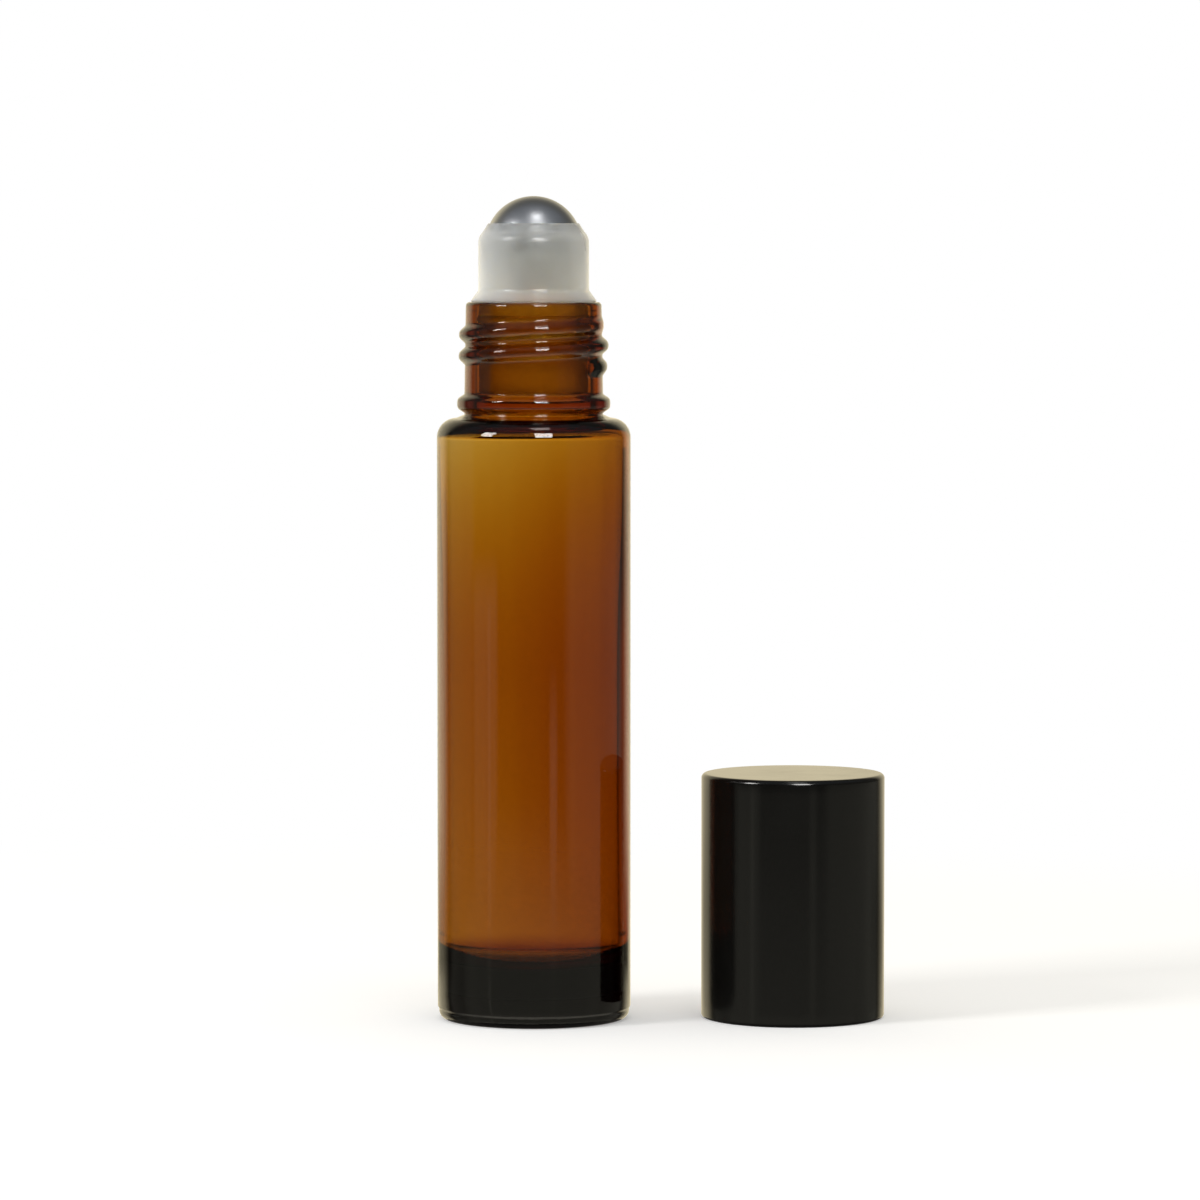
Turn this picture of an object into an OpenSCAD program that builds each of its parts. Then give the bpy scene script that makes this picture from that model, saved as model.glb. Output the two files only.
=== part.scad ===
// Roll-on applicator bottle for 10 ml of oil or perfume, with its screw cap standing beside it.
// The origin is the centre of the glass base, on the table. +Z is up, and the cap stands along +X.

/* [Glass body] */
// Outside diameter of the body
body_d = 20; // [18.4:0.1:26]
// Height from the table to the mouth of the neck
glass_h = 74.2; // [55:0.1:95]
// Thickness of the side wall
body_wall = 1.5; // [1:0.1:2.2]
// Thickness of the solid glass foot, from the table to the inside floor
base_t = 5.9; // [4:0.1:12]
// Rounding between the side wall and the shoulder
shoulder_r = 2; // [0.6:0.1:2.4]
// Thickness of the glass at the shoulder
shoulder_t = 2; // [1.4:0.1:3]
// Rounding at the edge of the inside floor
floor_r = 2.4; // [1:0.1:4]
// Rounding inside the shoulder
inner_shoulder_r = 1.5; // [0.5:0.1:2.4]
// Height of the hollow pushed up under the foot
pushup_h = 0.8; // [0.3:0.1:2]
// Width of the flat ring that the foot stands on
bearing_w = 2; // [1:0.1:3]
// Rounding of the heel
heel_r = 0.9; // [0.4:0.1:1]
// Height of the mould line above the table
heel_line_h = 1.13; // [1.1:0.01:2]
// Step in from the body to the heel at the mould line
heel_step = 0.15; // [0.05:0.01:0.4]

/* [Neck finish] */
// Height of the neck, from the shoulder to the mouth
neck_h = 11.95; // [9.7:0.05:14]
// Diameter of the neck wall just above the collar bead
neck_d = 14.3; // [13.6:0.1:15]
// How much narrower the neck wall is at the mouth
neck_draft = 0.3; // [0:0.05:0.5]
// Diameter of the bore that the roller plug goes into
bore_d = 11.8; // [9:0.1:12.2]
// Rounding of the outer edge of the mouth
mouth_r = 0.4; // [0.2:0.05:0.6]
// Chamfer at the top of the bore
bore_chamfer = 0.3; // [0.1:0.05:0.5]
// How far the collar bead stands out of the neck wall
bead_out = 0.75; // [0.4:0.05:0.9]
// Height of the collar bead
bead_w = 2; // [1:0.05:2.2]
// Height of the middle of the collar bead above the shoulder
bead_up = 1.5; // [1.2:0.01:2]
// Rounding where the neck meets the shoulder
root_r = 0.3; // [0.1:0.05:0.4]
// Rise of the shoulder from its rounded edge to the neck
shoulder_rise = 0.3; // [0:0.05:0.4]

/* [Screw thread] */
// Rise of the thread in one turn
pitch = 2.2; // [1.9:0.05:2.6]
// How far the thread stands out of the neck wall
thread_out = 0.65; // [0.4:0.01:0.8]
// Half the height of the rounded thread ridge
thread_half = 0.75; // [0.5:0.01:0.85]
// Depth of the ridge's centre below the mouth, where the thread crosses +X on its first turn
thread_drop = 6.65; // [6:0.01:7.4]
// Turns of glass thread, run-in and run-out included
thread_turns = 2.2; // [1.2:0.05:2.5]
// Angle where the thread starts, from +X
thread_start = -48; // [-90:1:0]

/* [Roller] */
// Diameter of the steel ball
ball_d = 10; // [8:0.1:11]
// Gap all round the ball in its socket
ball_gap = 0.08; // [0.05:0.01:0.2]
// Height of the ball's centre above the mouth
ball_up = 5.9; // [5:0.05:8]
// Wall of the socket at the ball's equator
socket_wall = 0.62; // [0.5:0.01:1]
// Height of the socket's lip above the ball's centre
lip_up = 2.2; // [1.7:0.05:2.6]
// Width of the lip's top edge
lip_w = 0.12; // [0.08:0.01:0.3]
// Height above the ball's centre where the socket's shoulder starts to turn in
socket_turn_up = 0.2; // [0:0.05:0.3]
// Rounding of the socket's shoulder
socket_shoulder_r = 1.6; // [1.2:0.05:1.9]
// Diameter of the flange that sits on the mouth
flange_d = 12.9; // [12.4:0.1:13.4]
// Thickness of the flange at its edge
flange_edge = 0.25; // [0.15:0.01:0.6]
// Height of the cone between the flange and the socket
flange_cone_h = 1.2; // [0.6:0.05:2]
// Diameter of the feed hole under the ball
feed_d = 5.2; // [3.5:0.1:6]
// Thickness of the seat around the feed hole
seat_t = 0.8; // [0.5:0.05:1.4]
// Number of feed grooves in the seat
groove_n = 6; // [3:1:8]
// Width of one feed groove
groove_w = 0.8; // [0.4:0.05:1]
// Depth of the feed grooves
groove_depth = 0.35; // [0.2:0.05:0.45]
// How far below the ball's centre the grooves end
groove_end = 2.5; // [1.5:0.1:3.5]
// How far the plug reaches into the neck
plug_h = 9.6; // [6:0.1:10.4]
// Wall of the plug
plug_wall = 1; // [0.6:0.05:1.3]
// Gap between the plug and the bore
plug_gap = 0.25; // [0.15:0.01:0.35]
// Gap between the sealing rings and the bore
ring_gap = 0.03; // [0.02:0.01:0.06]
// Number of sealing rings on the plug
ring_n = 2; // [1:1:3]
// Height of one sealing ring
ring_w = 0.9; // [0.6:0.05:1.2]
// Distance from the mouth to the first sealing ring
ring_drop = 1.8; // [1.2:0.1:2.2]
// Distance between sealing rings
ring_step = 2; // [1.4:0.1:2.4]
// Chamfer at the end of the plug
plug_chamfer = 0.4; // [0.2:0.05:0.6]

/* [Cap] */
// Wall of the cap's outer shell
shell_wall = 0.9; // [0.6:0.05:1.4]
// Thickness of the shell's top
shell_top = 1; // [0.6:0.05:1.6]
// Rounding of the shell's top edge
shell_top_r = 0.5; // [0.2:0.05:0.55]
// Rounding of the shell's rim
shell_rim_r = 0.4; // [0.1:0.05:0.45]
// Gap between the shell and the threaded core
core_fit = 0.03; // [0.02:0.01:0.1]
// Wall of the threaded core
core_wall = 0.57; // [0.45:0.01:0.9]
// Thickness of the core's top
core_top = 0.75; // [0.5:0.05:1.2]
// How far the core sits up inside the shell's rim
core_setback = 0.4; // [0.2:0.05:0.8]
// Gap between the glass thread and the core's wall
thread_clear = 0.2; // [0.15:0.01:0.35]
// Gap between the core's thread and the neck wall
crest_clear = 0.22; // [0.12:0.01:0.35]
// Height of the core's thread at its root
core_thread_root = 0.9; // [0.6:0.05:1]
// Height of the core's thread at its crest
core_thread_crest = 0.4; // [0.2:0.05:0.5]
// Turns of thread in the core
core_thread_turns = 1.5; // [1:0.05:1.6]
// Gap between the roller housing and the core's upper wall
guide_clear = 0.35; // [0.2:0.05:0.45]
// Gap above the mouth, with the cap screwed home
mouth_clear = 0.4; // [0.2:0.05:0.8]
// Number of ribs between the core's upper wall and the shell
rib_n = 12; // [6:1:16]
// Width of one rib
rib_w = 0.8; // [0.5:0.05:1.2]
// Gap between the shoulder and the cap's rim, with the cap screwed home
rim_gap = 0.3; // [0.2:0.05:0.6]
// Thickness of the seal pad
pad_t = 1.1; // [0.8:0.05:2]
// Gap round the seal pad in the core
pad_fit = 0.05; // [0.02:0.01:0.15]
// Depth of the dish in the pad that meets the ball
dish_depth = 0.3; // [0.1:0.05:0.5]

/* [Standing places] */
// Clear space between the bottle and the cap
cap_space = 7.35; // [2:0.05:40]
// How much further back than the bottle the cap stands
cap_back = 1; // [-10:0.5:10]

/* [Hidden] */
$fn = 96;
// Steps in a rounded stretch of an outline
arc_steps = 8;
// Steps in one turn of a thread
turn_steps = 36;
// Length of the run-in and run-out of a thread, in degrees
fade_angle = 60;
// How far the core's thread is rooted in the core's wall
core_thread_hold = 0.3;
// Share of a thread's depth left at its two ends, where it is inside the wall that carries it
thread_end_share = 0.2;
// Shares of the height under the collar bead that the shoulder's rise and the neck's root may take
rise_share = 0.6;
root_share = 0.3;

body_r = body_d / 2;
neck_r = neck_d / 2;
mouth_wall_r = neck_r - neck_draft / 2;
bore_r = bore_d / 2;
cavity_r = body_r - body_wall;
shoulder_h = glass_h - neck_h;
heel_outer_r = body_r - heel_step;
bearing_r = heel_outer_r - heel_r;
shoulder_fillet = min(shoulder_r, body_r - neck_r - root_r);
ceiling_h = shoulder_h - shoulder_t;
ceiling_fillet = min(inner_shoulder_r, (cavity_r - bore_r) / 2);
bead_h = shoulder_h + bead_up;
under_bead = bead_up - bead_w / 2;
root_h = shoulder_h + min(shoulder_rise, rise_share * under_bead);
root_fillet = min(root_r, root_share * under_bead);
thread_first_h = glass_h - thread_drop;

ball_r = ball_d / 2;
ball_h = glass_h + ball_up;
socket_r = ball_r + ball_gap;
housing_r = socket_r + socket_wall;
lip_h = ball_h + lip_up;
lip_inner_r = sqrt(socket_r * socket_r - lip_up * lip_up);
feed_r = feed_d / 2;
seat_h = ball_h - sqrt(socket_r * socket_r - feed_r * feed_r);
seat_under_h = min(seat_h - seat_t, glass_h + flange_edge + flange_cone_h / 2);
plug_r = bore_r - plug_gap;
plug_inner_r = plug_r - plug_wall;
ring_r = bore_r - ring_gap;
plug_end_h = glass_h - plug_h;
flange_r = flange_d / 2;

core_inner_r = neck_r + thread_out + thread_clear;
core_r = core_inner_r + core_wall;
shell_inner_r = core_r + core_fit;
cap_r = shell_inner_r + shell_wall;
// Heights in the cap are measured up from its rim, and rim_h is where the rim stops on the bottle
rim_h = shoulder_h + rim_gap;
pad_h = ball_h + ball_r - rim_h;
core_under_h = pad_h + pad_t;
core_top_h = core_under_h + core_top;
cap_h = core_top_h + shell_top;
guide_r = max(flange_r, housing_r) + guide_clear;
guide_h = glass_h - rim_h + mouth_clear;
crest_r = neck_r + crest_clear;
// The core's thread lies half a pitch under the glass thread when the cap is home
core_thread_first_h = thread_first_h - rim_h - pitch / 2;
pad_r = guide_r - pad_fit;
cap_x = body_r + cap_space + cap_r;

// Points of an arc about [x, y], from angle a to angle b
function arc(x, y, r, a, b) = [for (i = [0 : arc_steps])
    let (t = a + (b - a) * i / arc_steps) [x + r * cos(t), y + r * sin(t)]];

// Radius of the circle through the ends and the middle of a chord
function chord_radius(half_chord, rise) = (half_chord * half_chord + rise * rise) / (2 * rise);

// A bulge of that rise on an upright wall at radius r, as points going up
function bulge(r, h, half, rise) = let (big = chord_radius(half, rise), a = acos(1 - rise / big))
    arc(r + rise - big, h, big, -a, a);

// A shallow dome over the axis, as points going out from the middle
function dome(r, rise) = let (big = chord_radius(r, rise))
    arc(0, rise - big, big, 90, atan2(big - rise, r));

// Share of a thread's full depth at angle a
function depth_share(a, last) = thread_end_share + (1 - thread_end_share)
    * max(0, min(1, (a - thread_start) / fade_angle, (last - a) / fade_angle));

// A thread ridge that winds up about Z. The outline lists [depth, height] points, anticlockwise from
// the root, with its depth counted away from root_r. side is 1 for a ridge that stands outwards, and
// -1 for one that stands inwards.
module helix_ridge(outline, root_r, side, first_h, turns) {
    last = thread_start + 360 * turns;
    steps = ceil(turns * turn_steps);
    sides = len(outline);
    ring = side > 0 ? outline : [for (j = [sides - 1 : -1 : 0]) outline[j]];
    points = [for (i = [0 : steps]) let (
        a = thread_start + 360 * turns * i / steps,
        share = depth_share(a, last))
        for (p = ring) let (r = root_r + side * share * p[0])
            [r * cos(a), r * sin(a), first_h + pitch * a / 360 + p[1]]];
    walls = [for (i = [0 : steps - 1]) for (j = [0 : sides - 1]) let (
        a = i * sides + j,
        b = i * sides + (j + 1) % sides)
        each [[a, b, b + sides], [a, b + sides, a + sides]]];
    first_end = [for (j = [1 : sides - 2]) [0, j + 1, j]];
    last_end = [for (j = [1 : sides - 2]) [0, j, j + 1] + steps * sides * [1, 1, 1]];
    polyhedron(points, concat(walls, first_end, last_end), convexity = 6);
}

module glass_outline() {
    outside = concat(
        dome(bearing_r - bearing_w, pushup_h),
        arc(bearing_r, heel_r, heel_r, -90, 0),
        [[heel_outer_r, heel_line_h], [body_r, heel_line_h + heel_step]],
        arc(body_r - shoulder_fillet, shoulder_h - shoulder_fillet, shoulder_fillet, 0, 90),
        arc(neck_r + root_fillet, root_h + root_fillet, root_fillet, -90, -180),
        bulge(neck_r, bead_h, bead_w / 2, bead_out),
        arc(mouth_wall_r - mouth_r, glass_h - mouth_r, mouth_r, 0, 90));
    inside = concat(
        [[bore_r + bore_chamfer, glass_h], [bore_r, glass_h - bore_chamfer]],
        arc(bore_r + ceiling_fillet, ceiling_h + ceiling_fillet, ceiling_fillet, 180, 270),
        arc(cavity_r - ceiling_fillet, ceiling_h - ceiling_fillet, ceiling_fillet, 90, 0),
        arc(cavity_r - floor_r, base_t + floor_r, floor_r, 0, -90),
        [[0, base_t]]);
    polygon(concat(outside, inside));
}

module glass_bottle() {
    ridge = concat([[0, -thread_half]], arc(thread_out, 0, thread_half, -90, 90), [[0, thread_half]]);
    color([0.45, 0.2, 0.02, 0.8]) union() {
        rotate_extrude() glass_outline();
        helix_ridge(ridge, neck_r - thread_half, 1, thread_first_h, thread_turns);
    }
}

module housing_outline() {
    socket_top_h = ball_h + socket_turn_up;
    ring_heights = [for (i = [ring_n - 1 : -1 : 0]) glass_h - ring_drop - i * ring_step];
    outside = concat(
        [[plug_inner_r, plug_end_h], [plug_r - plug_chamfer, plug_end_h]],
        [[plug_r, plug_end_h + plug_chamfer]],
        [for (h = ring_heights) each bulge(plug_r, h, ring_w / 2, ring_r - plug_r)],
        [[plug_r, glass_h], [flange_r, glass_h], [flange_r, glass_h + flange_edge]],
        [[housing_r, glass_h + flange_edge + flange_cone_h]],
        arc(housing_r - socket_shoulder_r, socket_top_h, socket_shoulder_r, 0, 45),
        [[lip_inner_r + lip_w, lip_h]]);
    seat_angle = asin(feed_r / socket_r);
    lip_angle = asin(lip_up / socket_r);
    inside = concat(
        arc(0, ball_h, socket_r, lip_angle, 0),
        arc(0, ball_h, socket_r, 0, seat_angle - 90),
        [[feed_r, seat_under_h], [plug_inner_r, seat_under_h]]);
    polygon(concat(outside, inside));
}

module roller_housing() {
    groove_r = socket_r + groove_depth;
    color([0.86, 0.87, 0.85, 0.75]) difference() {
        rotate_extrude() housing_outline();
        for (i = [0 : groove_n - 1]) rotate(360 * i / groove_n)
            translate([0, groove_w / 2, ball_h]) rotate([90, 0, 0])
                intersection() {
                    cylinder(h = groove_w, r = groove_r);
                    translate([0, -groove_r, 0]) cube([groove_r, groove_r - groove_end, groove_w]);
                }
    }
}

module roller_ball() {
    color("silver") translate([0, 0, ball_h]) sphere(r = ball_r);
}

// Sets a piece of the cap where the cap stands
module at_cap() {
    translate([cap_x, cap_back, 0]) children();
}

module cap_shell() {
    top_fillet = min(shell_top_r, shell_wall);
    rim_fillet = min(shell_rim_r, shell_wall / 2);
    outline = concat(
        [[0, cap_h]],
        arc(cap_r - top_fillet, cap_h - top_fillet, top_fillet, 90, 0),
        arc(cap_r - rim_fillet, rim_fillet, rim_fillet, 0, -90),
        [[shell_inner_r, 0], [shell_inner_r, core_top_h], [0, core_top_h]]);
    color([0.05, 0.05, 0.05]) at_cap() rotate_extrude() polygon(outline);
}

module cap_core() {
    crest_depth = core_thread_hold + core_inner_r - crest_r;
    ridge = [
        [0, -core_thread_root / 2], [crest_depth, -core_thread_crest / 2],
        [crest_depth, core_thread_crest / 2], [0, core_thread_root / 2]];
    outline = [
        [core_inner_r, core_setback], [core_r, core_setback],
        [core_r, guide_h + core_wall], [guide_r + core_wall, guide_h + core_wall],
        [guide_r + core_wall, core_top_h], [0, core_top_h],
        [0, core_under_h], [guide_r, core_under_h],
        [guide_r, guide_h], [core_inner_r, guide_h]];
    color([0.08, 0.08, 0.08]) at_cap() {
        rotate_extrude() polygon(outline);
        helix_ridge(ridge, core_inner_r + core_thread_hold, -1, core_thread_first_h, core_thread_turns);
        for (i = [0 : rib_n - 1]) rotate(360 * i / rib_n)
            translate([guide_r + core_wall / 2, -rib_w / 2, guide_h + core_wall / 2])
                cube([core_r - guide_r - core_wall / 2, rib_w, core_top_h - guide_h - core_wall / 2]);
    }
}

module seal_pad() {
    dish_ball_r = ball_r + ball_gap;
    color([0.9, 0.9, 0.86]) at_cap() difference() {
        translate([0, 0, pad_h - dish_depth]) cylinder(h = pad_t + dish_depth, r = pad_r);
        translate([0, 0, pad_h - dish_ball_r]) sphere(r = dish_ball_r);
    }
}

glass_bottle();
roller_housing();
roller_ball();
cap_shell();
cap_core();
seal_pad();
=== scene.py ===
"""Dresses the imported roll-on bottle: amber glass, a steel ball in a translucent housing, a black cap."""

import math

import bmesh
import bpy
from bpy.props import FloatProperty, FloatVectorProperty, IntProperty, PointerProperty
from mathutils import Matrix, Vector


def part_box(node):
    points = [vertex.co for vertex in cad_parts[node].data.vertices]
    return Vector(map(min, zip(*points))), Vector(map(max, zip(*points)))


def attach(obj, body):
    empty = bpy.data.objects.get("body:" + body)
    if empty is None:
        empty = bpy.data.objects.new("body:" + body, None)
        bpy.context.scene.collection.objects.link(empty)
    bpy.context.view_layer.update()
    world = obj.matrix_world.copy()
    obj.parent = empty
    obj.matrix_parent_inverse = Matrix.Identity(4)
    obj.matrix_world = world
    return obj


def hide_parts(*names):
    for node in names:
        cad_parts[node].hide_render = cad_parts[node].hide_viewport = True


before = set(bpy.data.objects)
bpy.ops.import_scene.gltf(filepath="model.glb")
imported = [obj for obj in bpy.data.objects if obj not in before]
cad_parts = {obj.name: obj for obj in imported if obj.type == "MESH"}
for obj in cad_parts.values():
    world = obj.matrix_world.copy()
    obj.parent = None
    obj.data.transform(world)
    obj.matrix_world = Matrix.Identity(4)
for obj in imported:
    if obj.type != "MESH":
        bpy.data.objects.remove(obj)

bl_info = {
    "name": "Roll-on Bottle",
    "version": (1, 0, 0),
    "blender": (4, 5, 0),
    "location": "View3D > Sidebar > Bottle",
    "description": "Builds a roll-on bottle with a steel ball and its screw cap",
    "category": "Add Mesh",
}

MM = 0.001
TURN = 2 * math.pi
GLASS_LOW, GLASS_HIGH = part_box("glass_bottle")
CAP_LOW, CAP_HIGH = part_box("cap_shell")
BALL_LOW, BALL_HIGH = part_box("roller_ball")
CAP_CENTRE = (CAP_LOW + CAP_HIGH) / 2
BALL_MIDDLE = (BALL_HIGH.z + BALL_LOW.z) / 2
TINY = MM / 1000
PLASTIC_IOR = 1.49
NEAR_BLACK = (0.01, 0.008, 0.005)
LAMP_TINT = (1, 0.985, 0.96)
LAMP_DISTANCE = 0.6

# Name, azimuth, elevation, width and height, radiance, and whether surfaces scatter its light.
LAMPS = (
    ("top_lamp", 14, 70, (0.15, 0.13), 4.5, True),
    ("right_lamp", 12, 29, (0.20, 0.26), 16, False),
    ("left_lamp", -60, 29, (0.15, 0.21), 15, True))

# Waves round the inside of the glass: size, waves in a turn, start, and twist up the body.
WAVES = ((0.5, 3, 1.1, 0), (0.32, 7, 0.4, 2), (0.2, 17, 2.2, 0), (0.1, 29, 0.9, 3))


def length(name, description, millimetres):
    """A size that a user can change, in metres."""
    return FloatProperty(
        name=name, description=description, default=millimetres * MM, min=0, precision=5,
        subtype="DISTANCE", unit="LENGTH")


def colour(name, description, value):
    """A colour that a user can change, as linear red, green and blue."""
    return FloatVectorProperty(
        name=name, description=description, default=value, size=3, min=0, max=1, subtype="COLOR")


def share(name, description, value):
    """A share between 0 and 1 that a user can change."""
    return FloatProperty(name=name, description=description, default=value, min=0, max=1, subtype="FACTOR")


def degrees(name, description, value):
    """An angle that a user can change, stored in radians."""
    return FloatProperty(name=name, description=description, default=math.radians(value), subtype="ANGLE")


class GlassSettings(bpy.types.PropertyGroup):
    """Sizes and colours of the amber bottle."""
    body_radius: length("Body radius", "Outside radius of the body", GLASS_HIGH.x / MM)
    height: length("Height", "Height from the table to the mouth", GLASS_HIGH.z / MM)
    foot: length("Foot", "Thickness of the solid foot", 5.9)
    wall: length("Wall", "Thickness of the side wall, halfway up, where it is thickest", 1.5)
    wall_top: length("Upper wall", "Thickness of the side wall under the shoulder", 0.74)
    wall_low: length("Lower wall", "Thickness of the side wall above the foot", 1.3)
    neck_height: length("Neck height", "Height of the neck above the shoulder", 11.95)
    neck_radius: length("Neck radius", "Radius of the neck wall above the collar bead", 7.15)
    neck_draft: length("Neck draft", "How much the neck wall draws in towards the mouth", 0.15)
    bore_radius: length("Bore radius", "Radius of the bore in the neck", 5.9)
    shoulder_radius: length("Shoulder radius", "Rounding of the shoulder", 2)
    shoulder_rise: length("Shoulder rise", "Rise of the shoulder from its rounded edge to the neck", 0.3)
    shoulder_wall: length("Shoulder wall", "Thickness of the glass at the shoulder", 1.2)
    shoulder_turn: length("Inner shoulder", "Rounding of the inside under the shoulder", 0.9)
    bead_out: length("Bead", "How far the collar bead stands out of the neck", 0.75)
    bead_height: length("Bead height", "Height of the collar bead", 2)
    bead_up: length("Bead place", "Height of the bead's middle above the shoulder", 1.5)
    heel_step: length("Heel step", "Step in from the body to the heel at the mould line", 0.15)
    heel_line: length("Mould line", "Height of the mould line above the table", 1.13)
    heel_radius: length("Heel radius", "Rounding of the heel", 0.9)
    bearing_width: length("Bearing ring", "Width of the ring that the foot stands on", 2)
    push_up: length("Push-up", "Height of the hollow under the foot", 0.8)
    pitch: length("Thread pitch", "Rise of the thread in one turn", 2.2)
    thread_out: length("Thread depth", "How far the thread stands out of the neck", 0.65)
    thread_half: length("Thread half height", "Half the height of the ridge, with its soft roots", 1.02)
    thread_drop: length("Thread place", "Depth of the ridge below the mouth, at +X on its first turn", 6.65)
    thread_turns: FloatProperty(name="Thread turns", description="Turns of thread on the neck", default=2.2)
    thread_start: degrees("Thread start", "Angle where the thread starts, from +X", -48)
    oval: share("Oval", "How much thinner the side wall is at its two sides than in front and behind", 0.2)
    lean: length("Lean", "How far the inside sits off the axis, away from the cap", 0.25)
    ripple: length("Ripple", "Unevenness of the inside of the wall, as glass tube has", 0.06)
    tint: colour("Tint", "Colour that is left after light has crossed some glass", (0.847, 0.658, 0))
    density: FloatProperty(name="Density", description="How strongly the glass takes up light, a metre",
                           default=2800)


class HousingSettings(bpy.types.PropertyGroup):
    """Sizes and colours of the translucent housing that holds the ball."""
    ball_gap: length("Ball gap", "Gap round the ball in its socket", 0.08)
    socket_wall: length("Socket wall", "Wall of the socket at the ball's middle", 0.62)
    lip_up: length("Lip height", "Height of the lip above the ball's centre", 2.2)
    lip_width: length("Lip width", "Width of the lip's top edge", 0.12)
    turn_up: length("Shoulder height", "Height above the ball's centre where the shoulder turns in", 0.2)
    shoulder_radius: length("Shoulder radius", "Rounding of the housing's shoulder", 1.6)
    flange_radius: length("Flange radius", "Radius of the flange that sits on the mouth", 6.45)
    flange_edge: length("Flange edge", "Thickness of the flange at its edge", 0.25)
    flange_cone: length("Flange cone", "Height of the cone between the flange and the socket", 1.2)
    feed_radius: length("Feed hole", "Radius of the feed hole under the ball", 2.6)
    seat: length("Seat", "Thickness of the seat round the feed hole", 0.8)
    groove_count: IntProperty(name="Feed grooves", description="Grooves that feed the ball", default=6)
    groove_width: length("Groove width", "Width of one feed groove", 0.8)
    groove_depth: length("Groove depth", "Depth of a feed groove", 0.35)
    groove_end: length("Groove end", "How far below the ball's centre the grooves end", 2.5)
    plug_height: length("Plug", "How far the plug reaches into the neck", 9.6)
    plug_wall: length("Plug wall", "Wall of the plug", 1)
    plug_gap: length("Plug gap", "Gap between the plug and the bore", 0.25)
    ring_gap: length("Ring gap", "Gap between a sealing ring and the bore", 0.03)
    ring_height: length("Ring height", "Height of one sealing ring", 0.9)
    ring_drop: length("First ring", "Depth of the first sealing ring below the mouth", 1.8)
    ring_step: length("Ring step", "Distance between the sealing rings", 2)
    plug_chamfer: length("Plug chamfer", "Chamfer at the end of the plug", 0.4)
    body: colour("Plastic", "Colour of the natural plastic", (0.985, 0.985, 0.97))
    milk: colour("Milk", "Colour of the haze in the plastic", (0.985, 0.95, 0.84))
    haze: share("Haze", "Share of the light that the plastic scatters at each surface", 0.13)
    seat_haze: share("Seat haze", "Haze that is added in the thick seat under the ball", 0.08)
    edge_haze: share("Edge haze", "Haze that is added where the plastic is seen edge on", 0.9)
    plug_haze: share("Plug haze", "The same in the thin plug, below the flange", 0.08)


class BallSettings(bpy.types.PropertyGroup):
    """Size and colour of the steel ball."""
    radius: length("Radius", "Radius of the ball", (BALL_HIGH.z - BALL_LOW.z) / 2 / MM)
    steel: colour("Steel", "Colour of the polished steel", (0.60, 0.62, 0.65))


class CapSettings(bpy.types.PropertyGroup):
    """Sizes and colours of the cap: its shell, threaded core and seal pad."""
    radius: length("Shell radius", "Outside radius of the shell", (CAP_HIGH.x - CAP_LOW.x) / 2 / MM)
    height: length("Height", "Height of the cap", CAP_HIGH.z / MM)
    shell_wall: length("Shell wall", "Wall of the outer shell", 0.9)
    shell_top: length("Shell top", "Thickness of the shell's top", 1)
    top_radius: length("Top edge", "Rounding of the top edge", 0.5)
    rim_radius: length("Rim edge", "Rounding of the rim", 0.4)
    core_fit: length("Core fit", "Gap between the shell and the core", 0.03)
    core_wall: length("Core wall", "Wall of the threaded core", 0.57)
    core_top: length("Core top", "Thickness of the core's top", 0.75)
    core_setback: length("Core setback", "How far the core sits up inside the rim", 0.4)
    guide_radius: length("Guide radius", "Inside radius of the core's upper wall", 6.8)
    guide_height: length("Guide height", "Height where the core's upper wall starts", 12.05)
    pitch: length("Thread pitch", "Rise of the thread in one turn", 2.2)
    thread_in: length("Thread depth", "How far the core's thread stands in", 0.63)
    thread_half: length("Thread half height", "Half the height of the core's ridge", 0.62)
    thread_height: length("Thread place", "Height of the ridge at +X on its first turn", 3.9)
    thread_turns: FloatProperty(name="Thread turns", description="Turns of thread in the core", default=1.5)
    thread_start: degrees("Thread start", "Angle where the thread starts, from +X", -48)
    rib_count: IntProperty(name="Ribs", description="Ribs between the core and the shell", default=12)
    rib_width: length("Rib width", "Width of one rib", 0.8)
    pad: length("Pad", "Thickness of the seal pad", 1.1)
    pad_fit: length("Pad fit", "Gap round the pad in the core", 0.05)
    dish: length("Dish", "Depth of the dish that meets the ball", 0.3)
    black: colour("Black", "Colour of the shell", (0.0035, 0.0033, 0.003))
    core_black: colour("Core black", "Colour of the threaded core", (0.014, 0.014, 0.013))
    foam: colour("Foam", "Colour of the seal pad", (0.78, 0.77, 0.72))


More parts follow.
